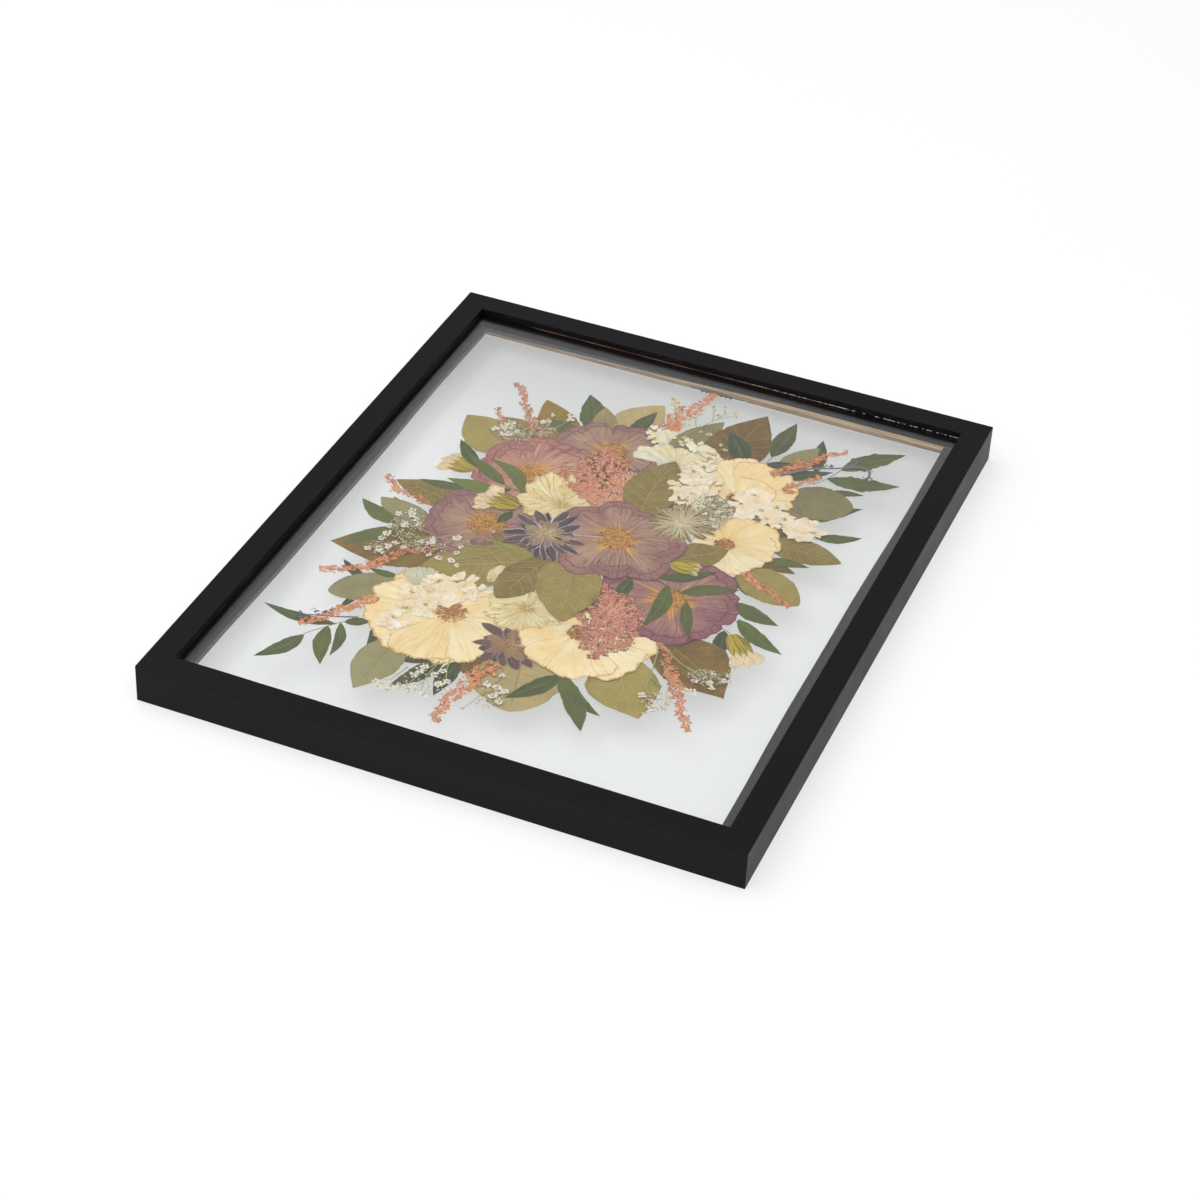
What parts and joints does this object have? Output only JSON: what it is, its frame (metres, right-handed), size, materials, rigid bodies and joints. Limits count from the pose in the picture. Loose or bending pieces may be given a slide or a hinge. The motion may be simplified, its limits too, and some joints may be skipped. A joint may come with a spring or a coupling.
{
  "type": "pressed flower frame",
  "caption": "Pressed bouquet of roses, leaves and small blooms held between two clear panes in a flat black mitred wooden frame, lying on its back.",
  "frame": {"origin": "centre of the frame's outline, on the plane its back lies on", "axes": "+X along the short rails, to the right; +Y along the long rails, towards the rail with the hanger (the top when hung); +Z out of the front glass, upwards as it lies"},
  "size_m": [0.432, 0.5304, 0.0294],
  "materials": {
    "black_paint": "black satin paint on wood, raw pale wood inside the rebate",
    "glass": "clear float glass, polished",
    "black_strip": "thin hand-cut strip, painted black, matt",
    "dark_steel": "dark plated steel",
    "mauve_petals": "dried rose petals, dusty mauve, matt",
    "plum_petals": "dried rose petals, deeper mauve, matt",
    "cream_petals": "dried rose petals, cream to amber, matt",
    "pale_petals": "dried petals, pale cream, matt",
    "star_plum": "dried star flower, plum grey with pale edges",
    "star_brown": "dried star flower, brown",
    "star_straw": "dried feathery star flower, straw",
    "astilbe_salmon": "dried astilbe grains, salmon",
    "astilbe_pink": "dried astilbe grains, dusty pink",
    "bud_green": "dried bud, yellow-green calyx with a peach tip",
    "leaf_olive": "dried leaf, olive, matt",
    "leaf_brown": "dried leaf, brown, matt",
    "leaf_grey": "dried leaf, grey green, matt",
    "leaf_tan": "dried leaf, tan, matt",
    "ruscus_green": "dried narrow leaves, dark green, matt"
  },
  "bodies": {
    "root": {"astilbe_plume_lower": "astilbe_pink", "astilbe_plume_upper": "astilbe_salmon", "astilbe_spike_bottom": "astilbe_salmon", "astilbe_spike_lower_right": "astilbe_salmon", "astilbe_spike_top": "astilbe_salmon", "astilbe_spike_upper_left": "astilbe_salmon", "astilbe_spike_upper_right": "astilbe_salmon", "bud_left_inner": "bud_green", "bud_left_outer": "bud_green", "bud_middle": "bud_green", "bud_right": "bud_green", "carnation_lower": "pale_petals", "carnation_upper": "pale_petals", "cream_petals_top": "pale_petals", "cream_rose_bottom": "cream_petals", "cream_rose_lower_left": "cream_petals", "cream_rose_right": "cream_petals", "cream_rose_upper_right": "cream_petals", "glass_back": "glass", "glass_front": "glass", "leaf_brown_left": "leaf_brown", "leaf_brown_lower_right": "leaf_brown", "leaf_brown_top": "leaf_brown", "leaf_grey_left": "leaf_grey", "leaf_grey_lower": "leaf_grey", "leaf_grey_upper_right": "leaf_grey", "leaf_olive_bottom_right": "leaf_olive", "leaf_olive_lower_left": "leaf_olive", "leaf_olive_lower_middle": "leaf_olive", "leaf_olive_lower_right": "leaf_olive", "leaf_olive_middle": "leaf_olive", "leaf_olive_right_lower": "leaf_olive", "leaf_olive_right_upper": "leaf_olive", "leaf_olive_upper_left": "leaf_olive", "leaf_tan_bottom": "leaf_tan", "mauve_rose_left": "mauve_petals", "mauve_rose_middle": "mauve_petals", "mauve_rose_right": "plum_petals", "mauve_rose_top": "mauve_petals", "mauve_rose_upper_left": "plum_petals", "rail_far": "black_paint", "rail_left": "black_paint", "rail_near": "black_paint", "rail_right": "black_paint", "retaining_strip_far": "black_strip", "retaining_strip_left": "black_strip", "retaining_strip_near": "black_strip", "retaining_strip_right": "black_strip", "ruscus_bottom": "ruscus_green", "ruscus_lower_left": "ruscus_green", "ruscus_on_rose": "ruscus_green", "ruscus_upper_left": "ruscus_green", "ruscus_upper_right": "ruscus_green", "sawtooth_hanger": "dark_steel", "star_flower_brown": "star_brown", "star_flower_plum": "star_plum", "star_flower_straw": "star_straw", "stock_florets_left": "pale_petals", "stock_florets_right": "pale_petals", "stock_florets_top": "pale_petals"}
  },
  "joints": []
}
